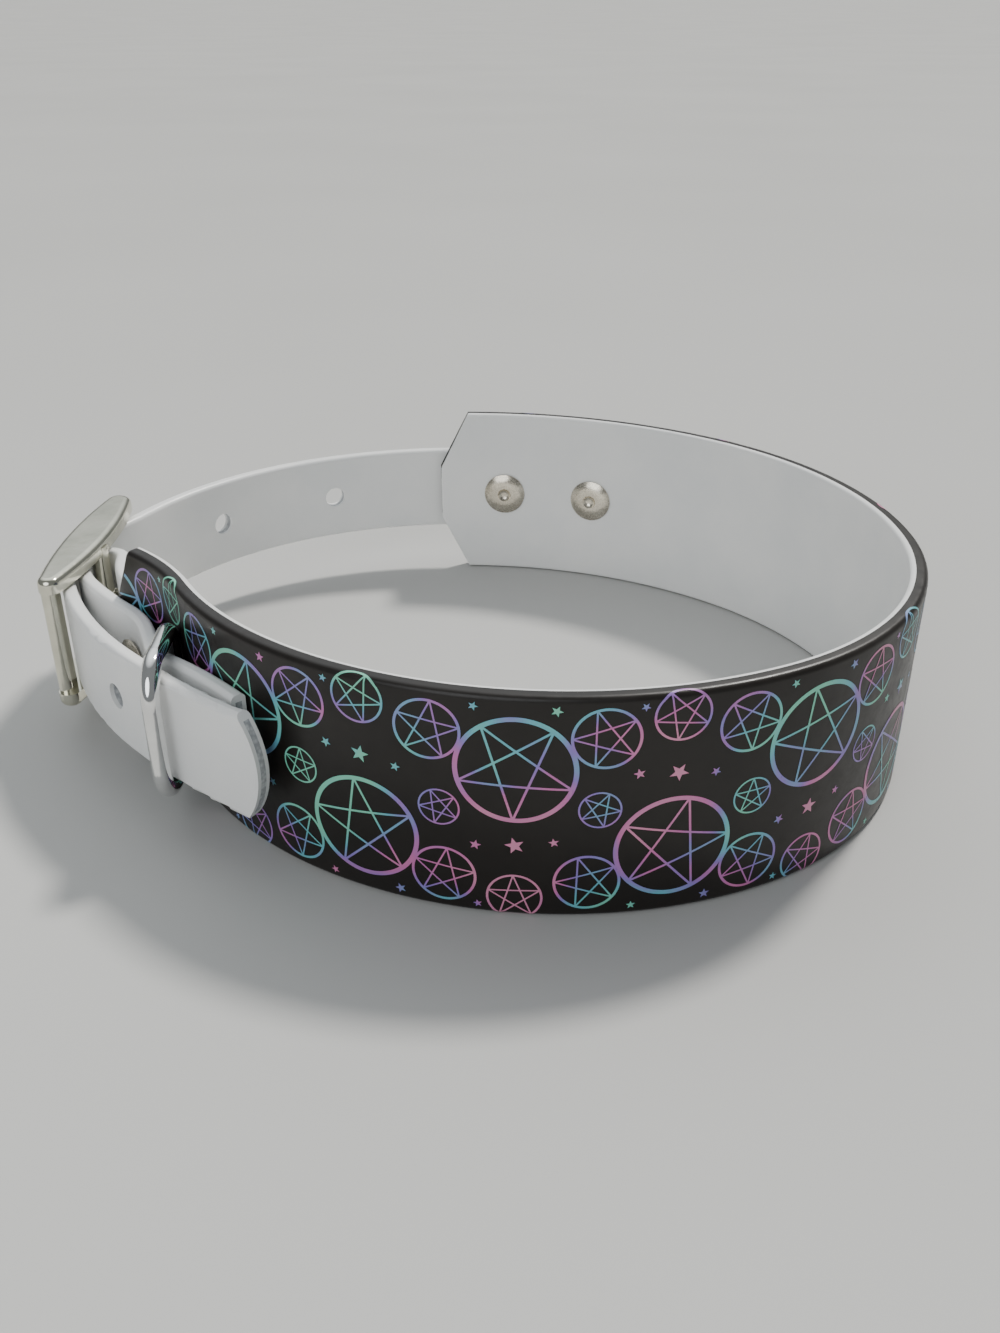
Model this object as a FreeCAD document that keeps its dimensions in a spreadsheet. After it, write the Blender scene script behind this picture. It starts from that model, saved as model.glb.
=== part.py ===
import FreeCAD, Part
import math
import os
import Sketcher

# A 1 1/2 inch dog collar of coated webbing, buckled, standing on its lower edge.
# X and Y lie in the plane of the neck loop, Z runs up the width of the collar.
# A strap's run is a start pose and tangent bends, each a length and a turn in degrees.
# Outward means the right-hand side of a run that goes anticlockwise round the neck.

Vector = FreeCAD.Vector

SIZES = {
    # wide band: printed face outside, white liner inside
    "band_width": 38.1,
    "band_thickness": 3.0,
    "face_thickness": 1.2,
    "rim_round": 1.0,
    "liner_round": 0.7,
    "layer_gap": 0.05,
    "band_start_east": -63.114,
    "band_start_north": -12.082,
    "band_start_heading": -47.755,
    "corner_cut_length": 6.5,
    "corner_cut_height": 13.0,
    # 3/4 inch straps: white coating round a woven core
    "strap_width": 19.05,
    "strap_thickness": 2.5,
    "strap_round": 0.9,
    "core_width": 16.6,
    "core_thickness": 1.1,
    "strap_overlap": 45.43,
    "tip_bulge": 3.4,
    # adjustment holes, counted from the tip of the hole strap
    "hole_diameter": 4.6,
    "hole_first": 36.5,
    "hole_pitch": 29.0,
    "hole_stretch": 1.2,
    # rivets: distance from the end of the wide band that each pair holds
    "rivet_diameter": 9.4,
    "rivet_head": 1.1,
    "rivet_post": 3.0,
    "rivet_hole": 3.4,
    "rivet_dimple": 3.0,
    "rivet_seat": 0.2,
    "front_rivet_first_lean": -5.0,
    "front_rivet_second_lean": 2.5,
    "front_rivet_first_rise": 1.6,
    "front_rivet_second_rise": 0.8,
    "back_rivet_first": 15.2,
    "back_rivet_second": 36.2,
    "front_rivet_first": 11.5,
    "front_rivet_second": 38.5,
    "front_leg_end": 47.5,
    # buckle, measured from the axis of its centre bar
    "buckle_east": -70.92,
    "buckle_north": 2.26,
    "buckle_inner_width": 20.4,
    "rail_thickness": 2.8,
    "rail_edge_round": 1.3,
    "rail_outer_radius": 123.0,
    "rail_inner_radius": 100.0,
    "rail_toe_radius": 2.5,
    "rail_toe_along": 21.8,
    "rail_toe_out": 2.4,
    "rail_heel_radius": 2.1,
    "rail_heel_along": -16.8,
    "rail_heel_out": 3.9,
    "centre_bar_diameter": 3.0,
    "toe_bar_diameter": 3.6,
    "toe_bar_along": 20.9,
    "toe_bar_out": 2.9,
    "heel_bar_length": 4.2,
    "heel_bar_depth": 2.6,
    "heel_bar_along": -15.9,
    "heel_bar_out": 4.5,
    "heel_groove": 0.9,
    "prong_diameter": 2.2,
    "prong_knuckle": 6.4,
    "prong_clearance": 0.05,
    "prong_slot_height": 3.4,
    # ring, a D of round wire hung on its straight bar
    "ring_wire": 3.0,
    "ring_height": 26.6,
    "ring_reach": 16.0,
    "ring_corner": 2.0,
    "ring_bow_corner": 6.0,
    "ring_station": 25.0,
    "ring_swing": 62.0,
}

BAND_BENDS = [
    (4.5, 9.755), (19.7, -23.0), (42.0, 34.3), (67.2, 53.8), (60.2, 63.1), (56.7, 47.4), (69.4, 46.19),
]
STRAP_BENDS = [(32.8, 25.14), (42.66, 37.37), (12.2, -10.4), (15.9, 50.0), (40.7, 27.6), (34.3, 12.9)]
CHAPE_BENDS = [
    (14.58, -35.34), (11.0, 179.9), (10.8, 29.5), (15.3, 9.9), (8.8, -22.2),
    (6.7, -3.5), (6.2, 33.4), (8.4, -6.2), (10.5, -5.8),
]
RUNS = {"band": BAND_BENDS, "strap": STRAP_BENDS, "chape": CHAPE_BENDS}

doc = FreeCAD.newDocument("collar")
sheet = doc.addObject("Spreadsheet::Sheet", "Sizes")
for run, bends in RUNS.items():
    for number, (length, turn) in enumerate(bends, 1):
        SIZES[f"{run}_bend_{number}_length"] = length
        SIZES[f"{run}_bend_{number}_turn"] = turn
for row, (alias, size) in enumerate(SIZES.items(), 1):
    sheet.set(f"A{row}", alias)
    sheet.set(f"B{row}", str(size))
    sheet.setAlias(f"B{row}", alias)
doc.recompute()


def size(alias):
    return float(sheet.get(alias))


# ---- runs: a bend is (signed radius, turn in degrees, radius formula, turn formula)

def own_bends(run):
    result = []
    for number in range(1, len(RUNS[run]) + 1):
        length = f"{run}_bend_{number}_length"
        turn = f"{run}_bend_{number}_turn"
        radius = size(length) / math.radians(size(turn))
        formula = f"Sizes.{length} / (Sizes.{turn} * pi / 180)"
        result.append((radius, size(turn), formula, f"Sizes.{turn}"))
    return result


def shifted(bends, shift, formula):
    """The same bends on a line that runs outside the first one by the shift."""
    return [(radius + shift, turn, f"({text}) + ({formula})", angle) for radius, turn, text, angle in bends]


def walk(pose, bends, distance=None):
    """The pose at a distance along the bends, or at their end."""
    x, y, heading = pose
    left = math.inf if distance is None else distance
    for radius, turn, _, _ in bends:
        length = radius * math.radians(turn)
        part = min(left / length, 1.0)
        start = math.radians(heading)
        heading += turn * part
        end = math.radians(heading)
        x += radius * (math.sin(end) - math.sin(start))
        y -= radius * (math.cos(end) - math.cos(start))
        left -= length
        if left <= 0:
            break
    return x, y, heading


def beside(pose, shift):
    """The pose moved outwards by the shift."""
    x, y, heading = pose
    angle = math.radians(heading)
    return x + shift * math.sin(angle), y - shift * math.cos(angle), heading


def seen_from(pose, base):
    """A pose given in the frame of another pose."""
    angle = math.radians(base[2])
    east, north = pose[0] - base[0], pose[1] - base[1]
    along = east * math.cos(angle) + north * math.sin(angle)
    aside = north * math.cos(angle) - east * math.sin(angle)
    return along, aside, pose[2] - base[2]


# ---- bodies and sketches

def new_body(label, pose):
    body = doc.addObject("PartDesign::Body", label)
    body.Label = label
    body.Placement = FreeCAD.Placement(Vector(pose[0], pose[1], 0), FreeCAD.Rotation(Vector(0, 0, 1), pose[2]))
    body.setExpression("Placement.Base.z", "Sizes.band_width / 2")
    return body


def new_sketch(body, role, offset=None):
    sketch = body.newObject("Sketcher::SketchObject", f"{body.Name}_sketch")
    plane = next(item for item in body.Origin.OriginFeatures if item.Role == role)
    sketch.AttachmentSupport = [(plane, "")]
    sketch.MapMode = "FlatFace"
    if offset is not None:
        sketch.AttachmentOffset = offset
    return sketch


def upright(pose):
    """The offset that turns the XZ plane to face across a run at a pose in the body's frame."""
    return FreeCAD.Placement(Vector(pose[0], 0, -pose[1]), FreeCAD.Rotation(Vector(0, 1, 0), pose[2]))


def bind(sketch, constraint, formula):
    sketch.setExpression(f"Constraints[{sketch.addConstraint(constraint)}]", formula)


def draw_run(sketch, bends, shift, formula):
    """A chain of tangent arcs along the bends, outside the sketch's X axis by the shift."""
    x, y, heading = 0.0, -shift, 0.0
    previous_end = None
    for radius, turn, radius_formula, turn_formula in shifted(bends, shift, formula):
        centre = Vector(x - radius * math.sin(heading), y + radius * math.cos(heading), 0)
        begin = math.atan2(y - centre.y, x - centre.x)
        finish = begin + math.radians(turn)
        circle = Part.Circle(centre, Vector(0, 0, 1), abs(radius))
        index = sketch.addGeometry(Part.ArcOfCircle(circle, min(begin, finish), max(begin, finish)), False)
        start_point, end_point = (1, 2) if turn > 0 else (2, 1)
        if previous_end is None:
            sketch.addConstraint(Sketcher.Constraint("PointOnObject", index, start_point, -2))
            sketch.addConstraint(Sketcher.Constraint("PointOnObject", index, 3, -2))
            bind(sketch, Sketcher.Constraint("DistanceY", -1, 1, index, start_point, -shift), f"-({formula})")
        else:
            sketch.addConstraint(Sketcher.Constraint("Tangent", index - 1, previous_end, index, start_point))
        bind(sketch, Sketcher.Constraint("Radius", index, abs(radius)), f"abs({radius_formula}) * 1 mm")
        bind(sketch, Sketcher.Constraint("Angle", index, abs(math.radians(turn))), f"abs({turn_formula}) * 1 deg")
        x, y, _ = walk((x, y, math.degrees(heading)), [(radius, turn, "", "")])
        heading += math.radians(turn)
        previous_end = end_point
    return previous_end


def draw_strap(sketch, bends, sides):
    """The closed plan of a strap: a run along each side, joined by a line at each end."""
    count = len(bends)
    first = 1 if bends[0][1] > 0 else 2
    last = [draw_run(sketch, bends, shift, formula) for shift, formula in sides]
    for one, other, one_point, other_point in ((0, count, first, first), (count - 1, 2 * count - 1, *last)):
        start, end = sketch.getPoint(one, one_point), sketch.getPoint(other, other_point)
        line = sketch.addGeometry(Part.LineSegment(start, end), False)
        sketch.addConstraint(Sketcher.Constraint("Coincident", one, one_point, line, 1))
        sketch.addConstraint(Sketcher.Constraint("Coincident", other, other_point, line, 2))


def draw_outline(sketch, start, pieces):
    """A closed outline of lines (a point) and arcs (a point passed through, then a point)."""
    here = start
    for index, piece in enumerate(pieces):
        there = piece[-1]
        if len(piece) == 1:
            edge = Part.LineSegment(Vector(*here, 0), Vector(*there, 0))
        else:
            edge = Part.Arc(Vector(*here, 0), Vector(*piece[0], 0), Vector(*there, 0))
        sketch.addGeometry(edge, False)
        sketch.addConstraint(Sketcher.Constraint("Block", index))
        here = there


def draw_circle(sketch, diameter, east=None, north=None):
    """A circle at the origin, or at the place that two cells of the sheet give."""
    place = Vector(size(east), size(north), 0) if east else Vector(0, 0, 0)
    index = sketch.addGeometry(Part.Circle(place, Vector(0, 0, 1), size(diameter) / 2), False)
    if east:
        bind(sketch, Sketcher.Constraint("DistanceX", -1, 1, index, 3, place.x), f"Sizes.{east}")
        bind(sketch, Sketcher.Constraint("DistanceY", -1, 1, index, 3, place.y), f"Sizes.{north}")
    else:
        sketch.addConstraint(Sketcher.Constraint("Coincident", index, 3, -1, 1))
    bind(sketch, Sketcher.Constraint("Diameter", index, size(diameter)), f"Sizes.{diameter}")


def pad(body, sketch, formula, kind="PartDesign::Pad", side="Symmetric"):
    feature = body.newObject(kind, f"{body.Name}_{kind.split('::')[1].lower()}")
    feature.Profile = sketch
    feature.Type = "Length"
    feature.SideType = side
    feature.setExpression("Length", formula)
    return feature


def round_edges(body, height, chosen, formula):
    """Fillet the chosen edges of those that lie at a height above or below the body's middle."""
    doc.recompute()
    base = body.Tip
    names = [
        f"Edge{number}" for number, edge in enumerate(base.Shape.Edges, 1)
        if all(abs(abs(vertex.Z) - height) < 0.001 for vertex in edge.Vertexes) and chosen(edge)
    ]
    rounding = body.newObject("PartDesign::Fillet", f"{body.Name}_rounding")
    rounding.Base = (base, names)
    rounding.setExpression("Radius", formula)


def on_side(bends, shift):
    """Tells whether an edge is an arc of the run along one side of a strap."""
    radii = [abs(radius + shift) for radius, _, _, _ in bends]

    def chosen(edge):
        return hasattr(edge.Curve, "Radius") and min(abs(edge.Curve.Radius - radius) for radius in radii) < 1e-4
    return chosen


def strap_body(label, pose, bends, width, sides, rounds):
    """A strap: its plan padded to its width, its long edges rounded side by side."""
    body = new_body(label, pose)
    plan = new_sketch(body, "XY_Plane")
    draw_strap(plan, bends, sides)
    doc.recompute()
    pad(body, plan, f"Sizes.{width}")
    for (shift, _), alias in zip(sides, rounds):
        round_edges(body, size(width) / 2, on_side(bends, shift), f"Sizes.{alias}")
    return body


def pipe(body, section, spine, edge_count):
    feature = body.newObject("PartDesign::AdditivePipe", f"{body.Name}_pipe")
    feature.Profile = section
    feature.Spine = (spine, [f"Edge{number}" for number in range(1, edge_count + 1)])
    return feature


def punch(body, base, poses, diameter):
    """Round holes through a strap at poses given in the collar's frame."""
    for pose in poses:
        sketch = new_sketch(body, "XZ_Plane", upright(seen_from(pose, base)))
        draw_circle(sketch, diameter)
        pad(body, sketch, "4 * Sizes.band_thickness", "PartDesign::Pocket")


def cut_corners(body, base, pose, ahead):
    """Cut both corners off a band end; ahead is 1 where the run leaves the end and -1 where it arrives."""
    half = size("band_width") / 2
    cut_length = size("corner_cut_length") * ahead
    low = half - size("corner_cut_height")
    past = half + 2
    for side in (1, -1):
        sketch = new_sketch(body, "XZ_Plane", upright(seen_from(pose, base)))
        points = [(cut_length, half), (0, low), (-2 * ahead, low), (-2 * ahead, past), (cut_length, past)]
        corners = [(x, y * side) for x, y in points]
        draw_outline(sketch, corners[-1], [(corner,) for corner in corners])
        pad(body, sketch, "4 * Sizes.band_thickness", "PartDesign::Pocket")


# ---- the wide band

half_band = size("band_thickness") / 2
half_strap = size("strap_thickness") / 2
band_pose = (size("band_start_east"), size("band_start_north"), size("band_start_heading"))
band_bends = own_bends("band")
band_length = sum(size(f"band_bend_{number}_length") for number in range(1, len(band_bends) + 1))


def band_station(distance, shift=0.0):
    return beside(walk(band_pose, band_bends, distance), shift)


front_rivets = []
for name in ("front_rivet_first", "front_rivet_second"):
    x, y, heading = band_station(size(name))
    front_rivets.append((x, y, heading + size(f"{name}_lean")))
back_rivets = [
    band_station(band_length - size("back_rivet_first")),
    band_station(band_length - size("back_rivet_second")),
]
band_end = walk(band_pose, band_bends)

band_outer = (half_band, "Sizes.band_thickness / 2")
band_joint = (half_band - size("face_thickness"), "Sizes.band_thickness / 2 - Sizes.face_thickness")
band_inner = (-half_band, "-Sizes.band_thickness / 2")
LAYERS = (
    ("band_face", (band_outer, band_joint), ("rim_round",)),
    ("band_liner", (band_inner, band_joint), ("liner_round",)),
)
for label, sides, rounds in LAYERS:
    body = strap_body(label, band_pose, band_bends, "band_width", sides, rounds)
    cut_corners(body, band_pose, band_pose, 1)
    cut_corners(body, band_pose, band_end, -1)
    punch(body, band_pose, front_rivets + back_rivets, "rivet_hole")


# ---- hole strap: lies on the band's back end, then runs round to the tip

beside_band = half_band + size("layer_gap") + half_strap
strap_band_radius = band_bends[-1][0] + beside_band
overlap_turn = math.degrees(size("strap_overlap") / strap_band_radius)
overlap_formula = f"{band_bends[-1][2]} + (Sizes.band_thickness + Sizes.strap_thickness) / 2 + Sizes.layer_gap"
overlap = (
    strap_band_radius, overlap_turn, overlap_formula,
    f"Sizes.strap_overlap / ({overlap_formula}) * 180 / pi",
)
covered = size("strap_overlap") * band_bends[-1][0] / strap_band_radius
strap_pose = band_station(band_length - covered, beside_band)
strap_bends = [overlap] + own_bends("strap")
strap_length = sum(abs(radius * math.radians(turn)) for radius, turn, _, _ in strap_bends)
hole_poses = [
    walk(strap_pose, strap_bends, strap_length - size("hole_first") - number * size("hole_pitch"))
    for number in range(5)
]
# the prong stretches the hole that it goes through
for stretch in (-size("hole_stretch"), size("hole_stretch")):
    used = strap_length - size("hole_first") - 2 * size("hole_pitch") + stretch
    hole_poses.append(walk(strap_pose, strap_bends, used))
strap_tip = walk(strap_pose, strap_bends)


def round_tip(body, base, pose):
    """Cut the end of a strap to a shallow arc."""
    half, bulge = size("strap_width") / 2, size("tip_bulge")
    sketch = new_sketch(body, "XZ_Plane", upright(seen_from(pose, base)))
    draw_outline(sketch, (-bulge, half), [
        ((0, 0), (-bulge, -half)), ((-bulge, -half - 2),), ((2, -half - 2),), ((2, half + 2),),
        ((-bulge, half + 2),), ((-bulge, half),),
    ])
    pad(body, sketch, "4 * Sizes.band_thickness", "PartDesign::Pocket")


def hollow(body, core_body, name):
    """The coating: the strap less its core."""
    cut = doc.addObject("Part::Cut", name)
    cut.Base = body
    cut.Tool = core_body
    cut.Label = name
    return cut


def both_sides(thickness):
    return (size(thickness) / 2, f"Sizes.{thickness} / 2"), (-size(thickness) / 2, f"-Sizes.{thickness} / 2")


COATING = ("strap_width", both_sides("strap_thickness"), ("strap_round", "strap_round"))
CORE = ("core_width", both_sides("core_thickness"), ())
for label, section in (("hole_strap_solid", COATING), ("hole_strap_core", CORE)):
    body = strap_body(label, strap_pose, strap_bends, *section)
    round_tip(body, strap_pose, strap_tip)
    punch(body, strap_pose, back_rivets, "rivet_hole")
    punch(body, strap_pose, hole_poses, "hole_diameter")
hollow(doc.getObject("hole_strap_solid"), doc.getObject("hole_strap_core"), "hole_strap")


# ---- chape: from inside the band's front end, round the centre bar, back outside the band

leg_end = size("front_leg_end")
chape_pose = band_station(leg_end, -beside_band)
chape_pose = (chape_pose[0], chape_pose[1], chape_pose[2] + 180)
inside = "(Sizes.band_thickness + Sizes.strap_thickness) / 2 + Sizes.layer_gap"
passed = size("band_bend_1_length") + size("band_bend_2_length")
third_share = (leg_end - passed) / size("band_bend_3_length")
third_turn = (
    "(Sizes.front_leg_end - Sizes.band_bend_1_length - Sizes.band_bend_2_length)"
    " / Sizes.band_bend_3_length * Sizes.band_bend_3_turn"
)
covered_bends = [(band_bends[2], third_share, third_turn)]
covered_bends += [(bend, 1.0, bend[3]) for bend in (band_bends[1], band_bends[0])]
chape_bends = [
    (beside_band - bend[0], -share * bend[1], f"{inside} - {bend[2]}", turn)
    for bend, share, turn in covered_bends
] + own_bends("chape")
buckle_pose = (size("buckle_east"), size("buckle_north"), 90.0)


def cut_prong_slot(body, base):
    """A slot across the fold, for the prong's knuckle and shank."""
    along, aside, turn = seen_from(buckle_pose, base)
    place = FreeCAD.Placement(Vector(along, aside, 0), FreeCAD.Rotation(Vector(0, 0, 1), turn))
    sketch = new_sketch(body, "XY_Plane", place)
    draw_outline(sketch, (-3.8, -8), [((9, -8),), ((9, 8),), ((-3.8, 8),), ((-3.8, -8),)])
    pad(body, sketch, "Sizes.prong_slot_height", "PartDesign::Pocket")


for label, section in (("chape_solid", COATING), ("chape_core", CORE)):
    body = strap_body(label, chape_pose, chape_bends, *section)
    punch(body, chape_pose, front_rivets, "rivet_hole")
    cut_prong_slot(body, chape_pose)
hollow(doc.getObject("chape_solid"), doc.getObject("chape_core"), "chape")


# ---- buckle: two arched rails joined by a toe bar, a centre bar and a grooved heel bar

def draw_rail(sketch):
    """Two caps joined smoothly by an arc along the outer side and one along the inner side."""
    toe_x, toe_y = size("rail_toe_along"), size("rail_toe_out")
    heel_x, heel_y = size("rail_heel_along"), size("rail_heel_out")
    toe, heel = size("rail_toe_radius"), size("rail_heel_radius")
    corners = [(heel_x, heel_y + heel), (toe_x, toe_y + toe), (toe_x, toe_y - toe), (heel_x, heel_y - heel)]
    crowns = [(0, 6.4), (toe_x + toe, toe_y), (0, -2.4), (heel_x - heel, heel_y)]
    for index in range(4):
        ends = corners[index], corners[(index + 1) % 4]
        arc = Part.Arc(Vector(*ends[0], 0), Vector(*crowns[index], 0), Vector(*ends[1], 0))
        sketch.addGeometry(arc, False)
    for index in range(4):
        sketch.addConstraint(Sketcher.Constraint("Tangent", index, 1, (index + 1) % 4, 2))
    for index, alias in enumerate(("rail_outer_radius", "rail_toe_radius", "rail_inner_radius", "rail_heel_radius")):
        bind(sketch, Sketcher.Constraint("Radius", index, size(alias)), f"Sizes.{alias}")
    for index, name in ((1, "toe"), (3, "heel")):
        for kind, way in (("DistanceX", "along"), ("DistanceY", "out")):
            alias = f"rail_{name}_{way}"
            bind(sketch, Sketcher.Constraint(kind, -1, 1, index, 3, size(alias)), f"Sizes.{alias}")


def buckle_frame():
    body = new_body("buckle_frame", buckle_pose)
    window, thickness = size("buckle_inner_width") / 2, size("rail_thickness")

    def rail(level):
        sketch = new_sketch(body, "XY_Plane", FreeCAD.Placement(Vector(0, 0, level), FreeCAD.Rotation()))
        draw_rail(sketch)
        pad(body, sketch, "Sizes.rail_thickness", side="One side")

    rail(-window - thickness)
    reach = "Sizes.buckle_inner_width + Sizes.rail_thickness"
    bars = (("centre_bar_diameter", None, None), ("toe_bar_diameter", "toe_bar_along", "toe_bar_out"))
    for diameter, along, out in bars:
        sketch = new_sketch(body, "XY_Plane")
        draw_circle(sketch, diameter, along, out)
        pad(body, sketch, reach)
    heel = new_sketch(body, "XY_Plane")
    x, y = size("heel_bar_along"), size("heel_bar_out")
    long, deep, groove = size("heel_bar_length") / 2, size("heel_bar_depth") / 2, size("heel_groove")
    draw_outline(heel, (x - long + 0.8, y - deep), [
        ((x + long - 0.8, y - deep),), ((x + long, y), (x + long - 0.9, y + deep)), ((x, y + deep - groove),),
        ((x - long + 0.9, y + deep),), ((x - long, y), (x - long + 0.8, y - deep)),
    ])
    pad(body, heel, reach)
    rail(window)
    round_edges(body, window + thickness, lambda edge: True, "Sizes.rail_edge_round")


def prong():
    body = new_body("buckle_prong", buckle_pose)
    bar_bore = size("centre_bar_diameter") / 2 + size("prong_clearance")
    knuckle = new_sketch(body, "XY_Plane")
    draw_circle(knuckle, "prong_knuckle")
    doc.recompute()
    pad(body, knuckle, "Sizes.prong_diameter + 0.2")
    spine = new_sketch(body, "XY_Plane")
    points = [(2.4, -0.9), (9.0, -0.9), (13.2, 0.2), (16.2, 3.0), (19.0, 5.6), (22.2, 6.35), (23.6, 6.35)]
    spine.addGeometry(Part.LineSegment(Vector(*points[0], 0), Vector(*points[1], 0)), False)
    spine.addGeometry(Part.Arc(Vector(*points[1], 0), Vector(*points[2], 0), Vector(*points[3], 0)), False)
    spine.addGeometry(Part.Arc(Vector(*points[3], 0), Vector(*points[4], 0), Vector(*points[5], 0)), False)
    for index in range(3):
        spine.addConstraint(Sketcher.Constraint("Block", index))
    shank_start = FreeCAD.Placement(Vector(points[0][1], 0, points[0][0]), FreeCAD.Rotation())
    section = new_sketch(body, "YZ_Plane", shank_start)
    draw_circle(section, "prong_diameter")
    doc.recompute()
    pipe(body, section, spine, 3)
    bore = new_sketch(body, "XY_Plane")
    bore.addGeometry(Part.Circle(Vector(0, 0, 0), Vector(0, 0, 1), bar_bore), False)
    bore.addConstraint(Sketcher.Constraint("Coincident", 0, 3, -1, 1))
    formula = "Sizes.centre_bar_diameter / 2 + Sizes.prong_clearance"
    bind(bore, Sketcher.Constraint("Radius", 0, bar_bore), formula)
    pad(body, bore, "4 * Sizes.prong_diameter", "PartDesign::Pocket")


buckle_frame()
prong()


# ---- ring: its straight bar stands between the band and the chape's outer leg

def ring():
    half_wire = size("ring_wire") / 2
    bar = band_station(size("ring_station"), half_band + size("layer_gap") + 0.05 + half_wire)
    body = new_body("d_ring", (bar[0], bar[1], bar[2] - 90 + size("ring_swing")))
    half = size("ring_height") / 2 - half_wire
    corner, bow, reach = size("ring_corner"), size("ring_bow_corner"), size("ring_reach")
    slant = math.sqrt(0.5)
    side = reach - bow
    spine = new_sketch(body, "XZ_Plane")
    draw_outline(spine, (0, 0), [
        ((0, half - corner),),
        ((corner * (1 - slant), half - corner * (1 - slant)), (corner, half)),
        ((side, half),),
        ((side + bow * slant, half - bow * (1 - slant)), (reach, half - bow)),
        ((reach, bow - half),),
        ((side + bow * slant, bow * (1 - slant) - half), (side, -half)),
        ((corner, -half),),
        ((corner * (1 - slant), corner * (1 - slant) - half), (0, corner - half)),
        ((0, 0),),
    ])
    section = new_sketch(body, "XY_Plane")
    draw_circle(section, "ring_wire")
    doc.recompute()
    pipe(body, section, spine, 9)


ring()


# ---- rivets: a post with a dimpled head inside, and a domed cap outside

def rivet(label, pose, inner, outer):
    """A rivet through the layers from the inner face to the outer face, both measured from the band's middle."""
    head, radius = size("rivet_head"), size("rivet_diameter") / 2
    post, dimple = size("rivet_post") / 2, size("rivet_dimple") / 2
    crown = radius / 6
    base = (pose[0], pose[1], pose[2] - 90)
    under = inner - size("rivet_seat")
    over = outer + size("layer_gap")
    body = new_body(f"{label}_post", base)
    profile = new_sketch(body, "XY_Plane")
    draw_outline(profile, (under - head + 0.7, 0), [
        ((under - head + 0.45, dimple * 0.7), (under - head, dimple)),
        ((under - head + 0.35, radius - 1.0), (under - 0.25, radius)), ((under, radius),), ((under, post),),
        ((over + 0.7, post),), ((over + 0.7, 0),), ((under - head + 0.7, 0),),
    ])
    turn_profile(body, profile)
    body = new_body(f"{label}_cap", base)
    profile = new_sketch(body, "XY_Plane")
    draw_outline(profile, (over + 0.8, 0), [
        ((over + 0.8, post + 0.1),), ((over, post + 0.1),), ((over, radius),), ((over + 0.25, radius),),
        ((over + 0.25 + (head - 0.25) * 0.75, radius * 0.55), (over + head, crown)), ((over + head, 0),),
        ((over + 0.8, 0),),
    ])
    turn_profile(body, profile)


def turn_profile(body, profile):
    doc.recompute()
    feature = body.newObject("PartDesign::Revolution", f"{body.Name}_turned")
    feature.Profile = profile
    feature.ReferenceAxis = (profile, ["H_Axis"])
    feature.Angle = 360


strap_stack = half_band + size("layer_gap") + size("strap_thickness")
rises = (size("front_rivet_first_rise"), size("front_rivet_second_rise"))
for number, pose in enumerate(back_rivets, 1):
    rivet(f"back_rivet_{number}", pose, -half_band, strap_stack)
for number, (pose, rise) in enumerate(zip(front_rivets, rises), 1):
    rivet(f"front_rivet_{number}", pose, -strap_stack - 0.2, half_band + rise + size("strap_thickness"))


# ---- check and write

SUB_PARTS = ["band_face", "band_liner", "hole_strap", "hole_strap_core", "chape", "chape_core",
             "buckle_frame", "buckle_prong", "d_ring"]
for number in (1, 2):
    for place in ("back", "front"):
        SUB_PARTS += [f"{place}_rivet_{number}_post", f"{place}_rivet_{number}_cap"]

doc.recompute()
for item in doc.Objects:
    if "Invalid" in item.State or "Error" in item.State:
        raise RuntimeError(f"{item.Name} did not build: {item.State}")
os.makedirs("parts", exist_ok=True)
for label in SUB_PARTS:
    shape = doc.getObjectsByLabel(label)[0].Shape
    if shape.isNull() or not shape.isValid():
        raise RuntimeError(f"{label} has no valid shape")
    shape.exportStep(f"parts/{label}.step")
    box = shape.BoundBox
    print(f"{label}: {box.XMin:.1f}..{box.XMax:.1f}, {box.YMin:.1f}..{box.YMax:.1f}, "
          f"{box.ZMin:.1f}..{box.ZMax:.1f}, {shape.Volume:.0f} mm3, {len(shape.Solids)} solid(s)")
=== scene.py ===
import math

import bmesh
import bpy
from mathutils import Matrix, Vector


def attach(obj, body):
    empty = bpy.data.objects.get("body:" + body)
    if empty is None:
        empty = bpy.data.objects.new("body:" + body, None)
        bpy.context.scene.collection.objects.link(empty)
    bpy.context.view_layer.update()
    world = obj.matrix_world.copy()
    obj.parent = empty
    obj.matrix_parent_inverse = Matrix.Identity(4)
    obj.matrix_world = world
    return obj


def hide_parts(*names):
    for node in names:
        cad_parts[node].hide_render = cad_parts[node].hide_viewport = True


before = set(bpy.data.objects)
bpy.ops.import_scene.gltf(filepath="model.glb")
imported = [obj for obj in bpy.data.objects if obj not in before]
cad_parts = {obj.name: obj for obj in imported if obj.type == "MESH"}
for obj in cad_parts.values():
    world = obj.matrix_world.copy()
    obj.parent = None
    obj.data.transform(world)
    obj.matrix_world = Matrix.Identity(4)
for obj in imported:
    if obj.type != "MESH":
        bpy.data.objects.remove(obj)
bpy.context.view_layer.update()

# Lengths are in metres. A run is a start pose (x, y, heading in degrees) and tangent bends,
# each a length and a turn in degrees; outward is the right-hand side of a run.
MM = 0.001
BAND_START = (-63.114 * MM, -12.082 * MM, -47.755)
BAND_BENDS = [
    (4.5, 9.755), (19.7, -23.0), (42.0, 34.3), (67.2, 53.8), (60.2, 63.1), (56.7, 47.4), (69.4, 46.19),
]
BAND_LENGTH = 319.7 * MM
HALF_BAND = 19.05 * MM
MIDDLE = 19.05 * MM


# ---- runs

def walk(start, bends, distance):
    x, y, heading = start
    left = distance
    for length, turn in bends:
        part = min(left / (length * MM), 1.0)
        radius = length * MM / math.radians(turn)
        before = math.radians(heading)
        heading += turn * part
        after = math.radians(heading)
        x += radius * (math.sin(after) - math.sin(before))
        y -= radius * (math.cos(after) - math.cos(before))
        left -= length * MM
        if left <= 0:
            break
    return x, y, heading


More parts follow.
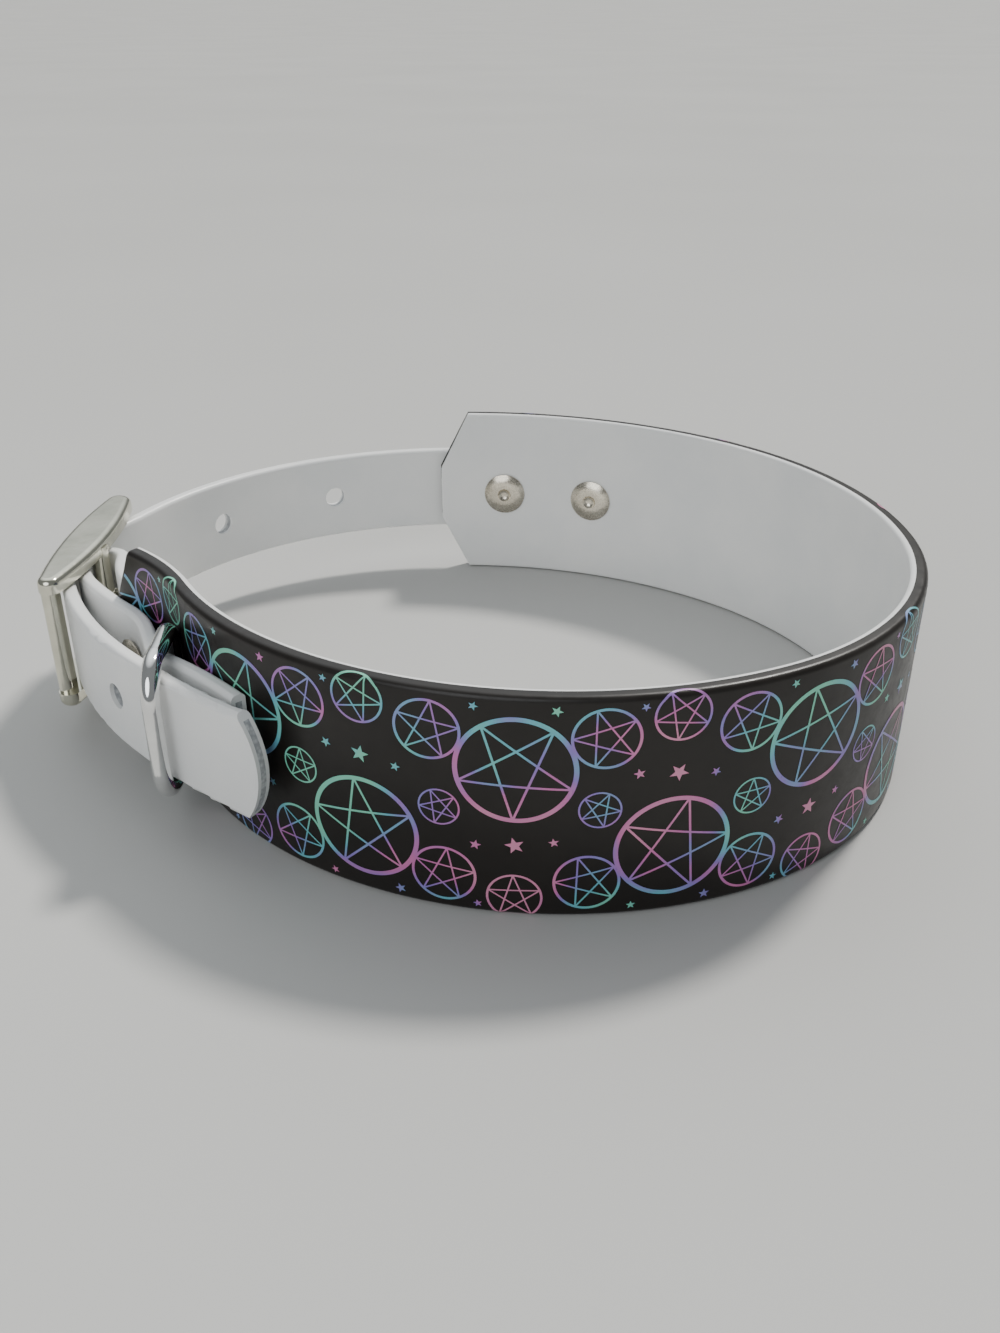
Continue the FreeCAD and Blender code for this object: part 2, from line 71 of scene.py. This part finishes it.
def on_band(station, offset, height):
    """The point at a station, outward of the band's middle by offset and above it by height."""
    x, y, heading = walk(BAND_START, BAND_BENDS, station)
    angle = math.radians(heading)
    return Vector((x + offset * math.sin(angle), y - offset * math.cos(angle), MIDDLE + height))


# ---- materials

def new_material(name):
    material = bpy.data.materials.new(name)
    material.use_nodes = True
    tree = material.node_tree
    shader = tree.nodes["Principled BSDF"]
    return material, tree, shader


def node(tree, kind, **settings):
    """A new node, with its inputs set by name."""
    made = tree.nodes.new(kind)
    for key, value in settings.items():
        made.inputs[key.title()].default_value = value
    return made


def noise(tree, scale, detail=4.0, roughness=0.55, distortion=0.0):
    """Noise over the object's own coordinates, in metres."""
    place = tree.nodes.new("ShaderNodeTexCoord")
    made = node(
        tree, "ShaderNodeTexNoise", scale=scale, detail=detail, roughness=roughness, distortion=distortion,
    )
    tree.links.new(place.outputs["Object"], made.inputs["Vector"])
    return made.outputs["Fac"]


def ramp(tree, factor, stops):
    """Colours by the factor; each stop is a position and a colour."""
    made = tree.nodes.new("ShaderNodeValToRGB")
    elements = made.color_ramp.elements
    while len(elements) < len(stops):
        elements.new(0.5)
    for element, (position, colour) in zip(elements, stops):
        element.position = position
        element.color = (*colour, 1.0)
    tree.links.new(factor, made.inputs["Fac"])
    return made.outputs["Color"]


def span(tree, factor, low, high, start=0.3, end=0.7):
    """The factor mapped from start..end to low..high."""
    made = tree.nodes.new("ShaderNodeMapRange")
    for key, value in (("From Min", start), ("From Max", end), ("To Min", low), ("To Max", high)):
        made.inputs[key].default_value = value
    tree.links.new(factor, made.inputs["Value"])
    return made.outputs["Result"]


def bump(tree, shader, height, distance, strength, under=None):
    """Relief of a distance in metres, laid over the relief under it."""
    made = node(tree, "ShaderNodeBump", strength=strength, distance=distance)
    tree.links.new(height, made.inputs["Height"])
    if under is not None:
        tree.links.new(under, made.inputs["Normal"])
    tree.links.new(made.outputs["Normal"], shader.inputs["Normal"])
    return made.outputs["Normal"]


def coating(name, dark, light, roughness, coat, ior):
    """Smooth coated webbing: slight mottling, fine scuffs and a soft orange-peel skin."""
    material, tree, shader = new_material(name)
    mottle = noise(tree, scale=60, detail=5)
    tree.links.new(ramp(tree, mottle, [(0.35, dark), (0.65, light)]), shader.inputs["Base Color"])
    scuffs = noise(tree, scale=420, detail=8, roughness=0.7, distortion=0.4)
    tree.links.new(span(tree, scuffs, roughness - 0.07, roughness + 0.1), shader.inputs["Roughness"])
    peel = noise(tree, scale=900, detail=3)
    waves = noise(tree, scale=90, detail=2)
    skin = bump(tree, shader, peel, distance=0.02 * MM, strength=0.5)
    bump(tree, shader, waves, distance=0.3 * MM, strength=0.25, under=skin)
    shader.inputs["Coat Weight"].default_value = coat
    shader.inputs["Coat Roughness"].default_value = 0.2
    shader.inputs["IOR"].default_value = ior
    return material


def metal(name, dark, light, roughness):
    """Polished plating: faint cloudiness, micro-scratches and a slightly uneven surface."""
    material, tree, shader = new_material(name)
    cloud = noise(tree, scale=150, detail=5)
    tree.links.new(ramp(tree, cloud, [(0.35, dark), (0.65, light)]), shader.inputs["Base Color"])
    scratches = noise(tree, scale=1500, detail=6, roughness=0.7, distortion=1.5)
    tree.links.new(span(tree, scratches, roughness * 0.6, roughness * 1.8), shader.inputs["Roughness"])
    dents = noise(tree, scale=260, detail=2)
    bump(tree, shader, dents, distance=0.12 * MM, strength=0.35)
    shader.inputs["Metallic"].default_value = 1.0
    return material


def webbing():
    """Woven core: crossed threads under a little fluff."""
    material, tree, shader = new_material("webbing")
    place = tree.nodes.new("ShaderNodeTexCoord")
    weave = node(tree, "ShaderNodeTexVoronoi", scale=1400.0)
    tree.links.new(place.outputs["Object"], weave.inputs["Vector"])
    thread = weave.outputs["Distance"]
    greys = [(0.0, (0.64, 0.66, 0.67)), (0.7, (0.36, 0.37, 0.39))]
    tree.links.new(ramp(tree, thread, greys), shader.inputs["Base Color"])
    bump(tree, shader, thread, distance=0.2 * MM, strength=0.6)
    shader.inputs["Roughness"].default_value = 0.85
    shader.inputs["Sheen Weight"].default_value = 0.2
    return material


def ink():
    """Printed ink: pastel pink, violet, blue and mint that run into each other."""
    material, tree, shader = new_material("ink")
    drift = noise(tree, scale=58, detail=1.5)
    stops = [
        (0.36, (0.20, 0.62, 0.45)), (0.44, (0.14, 0.46, 0.56)), (0.50, (0.27, 0.19, 0.56)),
        (0.56, (0.60, 0.17, 0.42)), (0.64, (0.70, 0.26, 0.42)),
    ]
    tree.links.new(ramp(tree, drift, stops), shader.inputs["Base Color"])
    wear = noise(tree, scale=700, detail=5)
    tree.links.new(span(tree, wear, 0.26, 0.42), shader.inputs["Roughness"])
    return material


BLACK = coating(
    "band_black", dark=(0.0100, 0.0080, 0.0068), light=(0.0150, 0.0122, 0.0105),
    roughness=0.36, coat=0.06, ior=1.38,
)
WHITE = coating(
    "coating_white", dark=(0.80, 0.81, 0.81), light=(0.86, 0.86, 0.85), roughness=0.38, coat=0.1, ior=1.5,
)
NICKEL = metal("nickel", dark=(0.61, 0.60, 0.50), light=(0.73, 0.71, 0.60), roughness=0.13)
CHROME = metal("ring_chrome", dark=(0.76, 0.76, 0.75), light=(0.88, 0.88, 0.87), roughness=0.07)
RIVET = metal("rivet_nickel", dark=(0.58, 0.53, 0.44), light=(0.72, 0.67, 0.57), roughness=0.2)
WEBBING = webbing()
INK = ink()


# ---- meshes

def add_mesh(name, points, faces, material, smooth=True):
    """A new piece of the collar body."""
    data = bpy.data.meshes.new(name)
    data.from_pydata(points, [], faces)
    data.materials.append(material)
    data.update()
    piece = bpy.data.objects.new(name, data)
    bpy.context.scene.collection.objects.link(piece)
    for face in data.polygons:
        face.use_smooth = smooth
    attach(piece, "collar")
    return piece


def smooth_by_angle(piece, degrees):
    with bpy.context.temp_override(object=piece, active_object=piece, selected_objects=[piece],
                                   selected_editable_objects=[piece]):
        bpy.ops.object.shade_smooth_by_angle(angle=math.radians(degrees))


# The band's ends are spade cut: each corner is taken back by CUT_LENGTH over CUT_HEIGHT. Stations
# nearer an end than STRETCH are spread out between the cut and the straight part.
CUT_LENGTH = 6.5 * MM
CUT_HEIGHT = 13.0 * MM
STRETCH = 14.0 * MM
# A layer's section is drawn in a little at its first two stations from each end: each step is a
# distance from the end and the share of the thickness that is left there.
END_STEPS = [(0.0, 0.72), (0.12 * MM, 0.92)]
END_LOWERING = 0.02
END_ROUND = 0.5 * MM
STATION_STEPS = 290
CORNER_STEPS = 6
SIDE_STEPS = 12


def end_cut(height):
    """How far the spade cut takes the band's end back at a height."""
    return CUT_LENGTH * max(0.0, abs(height) - (HALF_BAND - CUT_HEIGHT)) / CUT_HEIGHT


def cut_place(station, height):
    """Where a station of the uncut band lies at a height once the ends are cut."""
    cut = end_cut(height)
    if station < STRETCH:
        return cut + station * (STRETCH - cut) / STRETCH
    if BAND_LENGTH - station < STRETCH:
        return BAND_LENGTH - cut - (BAND_LENGTH - station) * (STRETCH - cut) / STRETCH
    return station


def band_layer(name, outline, material):
    """A layer of the band: a closed outline of (offset, height), swept along the stations."""
    count = len(outline)
    drawn_to = (outline[0][0] + outline[count // 2][0]) / 2
    sections = stations()
    points = []
    for station, share in sections:
        lowered = 1 - (1 - share) * END_LOWERING
        for offset, height in outline:
            place = cut_place(station, height)
            points.append(on_band(place, drawn_to + (offset - drawn_to) * share, height * lowered))
    faces = []
    for column in range(len(sections) - 1):
        for row in range(count):
            a = column * count + row
            b = column * count + (row + 1) % count
            faces.append((a, b, b + count, a + count))
    faces.append(tuple(range(count))[::-1])
    last = (len(sections) - 1) * count
    faces.append(tuple(range(last, last + count)))
    piece = add_mesh(name, points, faces, material)
    mesh = bmesh.new()
    mesh.from_mesh(piece.data)
    bmesh.ops.recalc_face_normals(mesh, faces=mesh.faces)
    mesh.to_mesh(piece.data)
    mesh.free()
    smooth_by_angle(piece, 40)
    return piece


def layer_side(face, direction, radius):
    """One side of a layer from its top edge to its bottom edge; direction points out of the layer."""
    corner = [(face, HALF_BAND)]
    if radius:
        corner = []
        for step in range(CORNER_STEPS + 1):
            angle = math.radians(90 - 90 * step / CORNER_STEPS)
            offset = face - direction * radius * (1 - math.cos(angle))
            corner.append((offset, HALF_BAND - radius * (1 - math.sin(angle))))
    straight = corner[-1][1]
    flat = [(face, straight * (1 - 2 * step / SIDE_STEPS)) for step in range(1, SIDE_STEPS)]
    return corner + flat + [(offset, -height) for offset, height in reversed(corner)]


def layer_outline(inner, outer, inner_radius, outer_radius):
    """Outline of a layer from its inner to its outer offset, with rounds at its free side's corners."""
    outer_side = layer_side(outer, 1, outer_radius)
    inner_side = layer_side(inner, -1, inner_radius)
    return outer_side + [(offset, -height) for offset, height in inner_side]


def stations():
    """Stations about 1.1 mm apart along the band, each with the share of the thickness left there."""
    start = [(distance, share) for distance, share in END_STEPS]
    end = [(BAND_LENGTH - distance, share) for distance, share in reversed(END_STEPS)]
    length = BAND_LENGTH - 2 * END_ROUND
    between = [(END_ROUND + length * step / STATION_STEPS, 1.0) for step in range(STATION_STEPS + 1)]
    return start + between + end


# Offsets of the printed face, and of its joint with the liner, from the band's middle, and the radii of
# the rims' rounds.
JOINT = -0.55 * MM
FACE = 1.5 * MM
RIM = 1.0 * MM
LINER_RIM = 0.7 * MM
face = band_layer("printed_face", layer_outline(JOINT, FACE, 0, RIM), BLACK)
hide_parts("band_face")
liner = band_layer("white_liner", layer_outline(-FACE, JOINT, LINER_RIM, 0), WHITE)
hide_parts("band_liner")


# ---- print: ringed and plain five-pointed stars on the band's face

INK_LIFT = 0.03 * MM
LAYER_LIFT = 0.004 * MM
LAYERS = 6
INK_MARGIN = 0.2 * MM
RIM_MARGIN = 0.3 * MM
RIM_PARTS = 3
RIBBON_STEP = 0.6 * MM
RING_STEP = 0.5 * MM
STAR_WAIST = 0.42
# WRAP is the height along the surface at which the rim's round starts, and that at which the print ends.
ROUND_END = HALF_BAND - RIM + RIM * math.pi / 2
WRAP = (HALF_BAND - RIM, ROUND_END + FACE - RIM - JOINT - 0.1 * MM)


def on_face(station, rise, lift):
    """The point at a station and a height along the surface, which runs round the rims onto the edges."""
    side = math.copysign(1, rise)
    past = abs(rise) - WRAP[0]
    if past <= 0:
        return on_band(station, FACE + lift, rise)
    if abs(rise) > ROUND_END:
        return on_band(station, FACE - RIM - (abs(rise) - ROUND_END), side * (HALF_BAND + lift))
    angle = past / RIM
    reach = RIM + lift
    height = WRAP[0] + reach * math.sin(angle)
    return on_band(station, FACE - RIM + reach * math.cos(angle), side * height)


def printable(station, rise):
    """Whether a place lies on the face or its rims, clear of the cut ends."""
    margin = end_cut(min(abs(rise), HALF_BAND)) + INK_MARGIN
    return abs(rise) < WRAP[1] and margin < station < BAND_LENGTH - margin


class Print:
    """The ink of one stretch of the band. Its shapes take turns in a few layers, so that none coincide."""

    def __init__(self):
        self.points = []
        self.faces = []
        self.layer = 0

    def next_layer(self):
        self.layer = (self.layer + 1) % LAYERS

    def patch(self, corners):
        """Adds a patch of ink, if all of it is printable."""
        middle = [sum(corner[axis] for corner in corners) / len(corners) for axis in (0, 1)]
        if not all(printable(*corner) for corner in corners) or not printable(*middle):
            return
        if len(corners) == 4 and max(abs(rise) for _, rise in corners) > WRAP[0] - RIM_MARGIN:
            self.round_the_rim(corners)
        else:
            self.add(corners)

    def add(self, corners):
        lift = INK_LIFT + self.layer * LAYER_LIFT
        first = len(self.points)
        self.points += [on_face(station, rise, lift) for station, rise in corners]
        self.faces.append(tuple(range(first, first + len(corners))))

    def round_the_rim(self, corners):
        """A patch near a rim goes on in smaller pieces, so that it follows the round."""
        a, b, c, d = (Vector(corner) for corner in corners)
        for across in range(RIM_PARTS):
            for along in range(RIM_PARTS):
                small = []
                for right, up in ((0, 0), (1, 0), (1, 1), (0, 1)):
                    share = (along + right) / RIM_PARTS
                    low = a.lerp(b, share)
                    small.append(tuple(low.lerp(d.lerp(c, share), (across + up) / RIM_PARTS)))
                self.add(small)

    def ribbon(self, start, end, width):
        """A straight line of ink, in short patches that follow the band."""
        self.next_layer()
        along = Vector(end) - Vector(start)
        steps = max(1, math.ceil(along.length / RIBBON_STEP))
        across = Vector((-along.y, along.x)).normalized() * width / 2
        for step in range(steps):
            a = Vector(start) + along * step / steps
            b = Vector(start) + along * (step + 1) / steps
            self.patch([tuple(a - across), tuple(b - across), tuple(b + across), tuple(a + across)])

    def ring(self, centre, radius, width):
        """A circle of ink, in short patches."""
        self.next_layer()
        steps = max(24, math.ceil(2 * math.pi * radius / RING_STEP))
        for step in range(steps):
            corners = []
            for reach, turn in ((-1, step), (1, step), (1, step + 1), (-1, step + 1)):
                angle = 2 * math.pi * turn / steps
                length = radius + reach * width / 2
                corners.append((centre[0] + length * math.cos(angle), centre[1] + length * math.sin(angle)))
            self.patch(corners)

    def ringed_star(self, centre, diameter, tilt, line, ring_line):
        """A five-pointed star of five lines, drawn inside a ring."""
        radius = diameter / 2
        self.ring(centre, radius, ring_line)
        tips = []
        for tip in range(5):
            angle = math.radians(90 + tilt + 72 * tip)
            tips.append((centre[0] + radius * math.cos(angle), centre[1] + radius * math.sin(angle)))
        for tip in range(5):
            self.ribbon(tips[tip], tips[(tip + 2) % 5], line)

    def star(self, centre, size, tilt):
        """A small solid star, in ten wedges."""
        self.next_layer()
        rim = []
        for corner in range(10):
            angle = math.radians(90 + tilt + 36 * corner)
            reach = size / 2 if corner % 2 == 0 else size / 2 * STAR_WAIST
            rim.append((centre[0] + reach * math.cos(angle), centre[1] + reach * math.sin(angle)))
        for corner in range(10):
            self.patch([centre, rim[corner], rim[(corner + 1) % 10]])


# The print is a plain half-drop repeat, in millimetres. Each mark is a station, a height above the band's
# middle, a diameter and a tilt in degrees. Each drop is a step along the band, turned over to the other
# half of its width, with its marks turned a little further.
DROP = 23.0
DROP_TURN = 25
RINGED = [
    (0.0, 7.0, 17.0, 6), (12.5, 12.5, 9.5, -10), (33.5, 12.5, 9.5, 14), (23.0, 15.5, 8.0, 0),
    (12.0, 0.5, 6.0, 20),
]
SOLID = [
    (23.0, 6.0, 3.0, 12), (17.3, 6.4, 1.8, -14), (28.6, 5.2, 1.6, 8), (5.6, 17.0, 1.8, 20),
    (40.2, 17.2, 1.5, 0), (17.6, 17.3, 1.4, 10),
]


def line_widths(diameter):
    """Widths of a ringed star's lines and of its ring, in millimetres; both grow with its diameter."""
    return 0.14 + 0.0125 * diameter, 0.02 + 0.042 * diameter


STRETCHES = 6
stretches = [Print() for _ in range(STRETCHES)]


def stretch_at(station):
    """The stretch of the band that a mark's centre lies in, or the end stretch if it is past an end."""
    return stretches[min(STRETCHES - 1, max(0, int(station / BAND_LENGTH * STRETCHES)))]


for drop in range(-2, math.ceil(BAND_LENGTH / (DROP * MM)) + 1):
    half = 1 if drop % 2 == 0 else -1
    turn = drop * DROP_TURN
    for station, rise, diameter, tilt in RINGED:
        centre = ((station + drop * DROP) * MM, half * rise * MM)
        if -diameter * MM < centre[0] < BAND_LENGTH + diameter * MM:
            line, ring_line = line_widths(diameter)
            stretch = stretch_at(centre[0])
            stretch.ringed_star(centre, diameter * MM, tilt + turn, line * MM, ring_line * MM)
    for station, rise, size, tilt in SOLID:
        centre = ((station + drop * DROP) * MM, half * rise * MM)
        if 0 < centre[0] < BAND_LENGTH:
            stretch_at(centre[0]).star(centre, size * MM, tilt + turn)

for number, stretch in enumerate(stretches, 1):
    add_mesh(f"print_{number}", stretch.points, stretch.faces, INK, smooth=False)


# ---- finishes of the pieces that show the CAD

finishes = {
    "hole_strap": WHITE, "chape": WHITE, "hole_strap_core": WEBBING, "chape_core": WEBBING,
    "buckle_frame": NICKEL, "buckle_prong": NICKEL, "d_ring": CHROME,
}
for name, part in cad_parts.items():
    finish = finishes.get(name, RIVET if "rivet" in name else None)
    if finish is not None:
        part.data.materials.clear()
        part.data.materials.append(finish)
        smooth_by_angle(part, 32)


# ---- floor, light and camera

def stage_plane():
    """A pale floor that runs on far behind the object and rises a little there, past the horizon."""
    reach = 60.0
    below = 0.2 * MM
    profile = [(-reach, 0.0), (6.0, 0.0), (reach, 0.9)]
    points = [(x, y, z - below) for y, z in profile for x in (-reach, reach)]
    data = bpy.data.meshes.new("floor")
    data.from_pydata(points, [], [(0, 1, 3, 2), (2, 3, 5, 4)])
    data.update()
    floor = bpy.data.objects.new("floor", data)
    bpy.context.scene.collection.objects.link(floor)
    material, tree, shader = new_material("floor_pale")
    shade = noise(tree, scale=3, detail=2)
    pale = [(0.3, (0.49, 0.49, 0.48)), (0.7, (0.52, 0.52, 0.51))]
    tree.links.new(ramp(tree, shade, pale), shader.inputs["Base Color"])
    shader.inputs["Roughness"].default_value = 0.9
    data.materials.append(material)


def area_light(name, place, aim, size, power, colour):
    data = bpy.data.lights.new(name, "AREA")
    data.shape = "DISK"
    data.size = size
    data.energy = power
    data.color = colour
    light = bpy.data.objects.new(name, data)
    light.location = place
    light.rotation_euler = (Vector(aim) - Vector(place)).to_track_quat("-Z", "Y").to_euler()
    bpy.context.scene.collection.objects.link(light)


def sun_light(name, toward, strength, spread, colour):
    data = bpy.data.lights.new(name, "SUN")
    data.energy = strength
    data.angle = math.radians(spread)
    data.color = colour
    light = bpy.data.objects.new(name, data)
    light.rotation_euler = Vector(toward).to_track_quat("Z", "Y").to_euler()
    bpy.context.scene.collection.objects.link(light)


def studio_world():
    """Soft light from all round, brighter from a wide patch high behind the object."""
    world = bpy.data.worlds.new("studio")
    world.use_nodes = True
    tree = world.node_tree
    place = tree.nodes.new("ShaderNodeTexCoord")
    facing = tree.nodes.new("ShaderNodeVectorMath")
    facing.operation = "DOT_PRODUCT"
    facing.inputs[1].default_value = Vector((-0.12, 0.58, 0.81)).normalized()
    tree.links.new(place.outputs["Generated"], facing.inputs[0])
    strength = span(tree, facing.outputs["Value"], low=0.26, high=1.7, start=0.72, end=0.97)
    back = tree.nodes["Background"]
    back.inputs["Color"].default_value = (0.84, 0.88, 0.90, 1)
    tree.links.new(strength, back.inputs["Strength"])
    bpy.context.scene.world = world


stage_plane()
sun_light("sun_side", toward=(0.30, 0.40, 0.66), strength=3.4, spread=8.0, colour=(1.0, 0.97, 0.92))
area_light(
    "front_fill", place=(-0.3, -0.7, 0.5), aim=(0, 0, 0.02), size=0.7, power=3.2, colour=(0.95, 0.98, 1.0),
)
studio_world()

CAMERA_PLACE = (5.08 * MM, -208.14 * MM, 120.2 * MM)
CAMERA_DOWN = 28.79
lens = bpy.data.cameras.new("camera")
lens.lens = 32.4
lens.sensor_fit = "VERTICAL"
lens.sensor_height = 36.0
lens.clip_start = 0.01
camera = bpy.data.objects.new("camera", lens)
camera.location = CAMERA_PLACE
camera.rotation_euler = (math.radians(90 - CAMERA_DOWN), 0, 0)
bpy.context.scene.collection.objects.link(camera)
bpy.context.scene.camera = camera
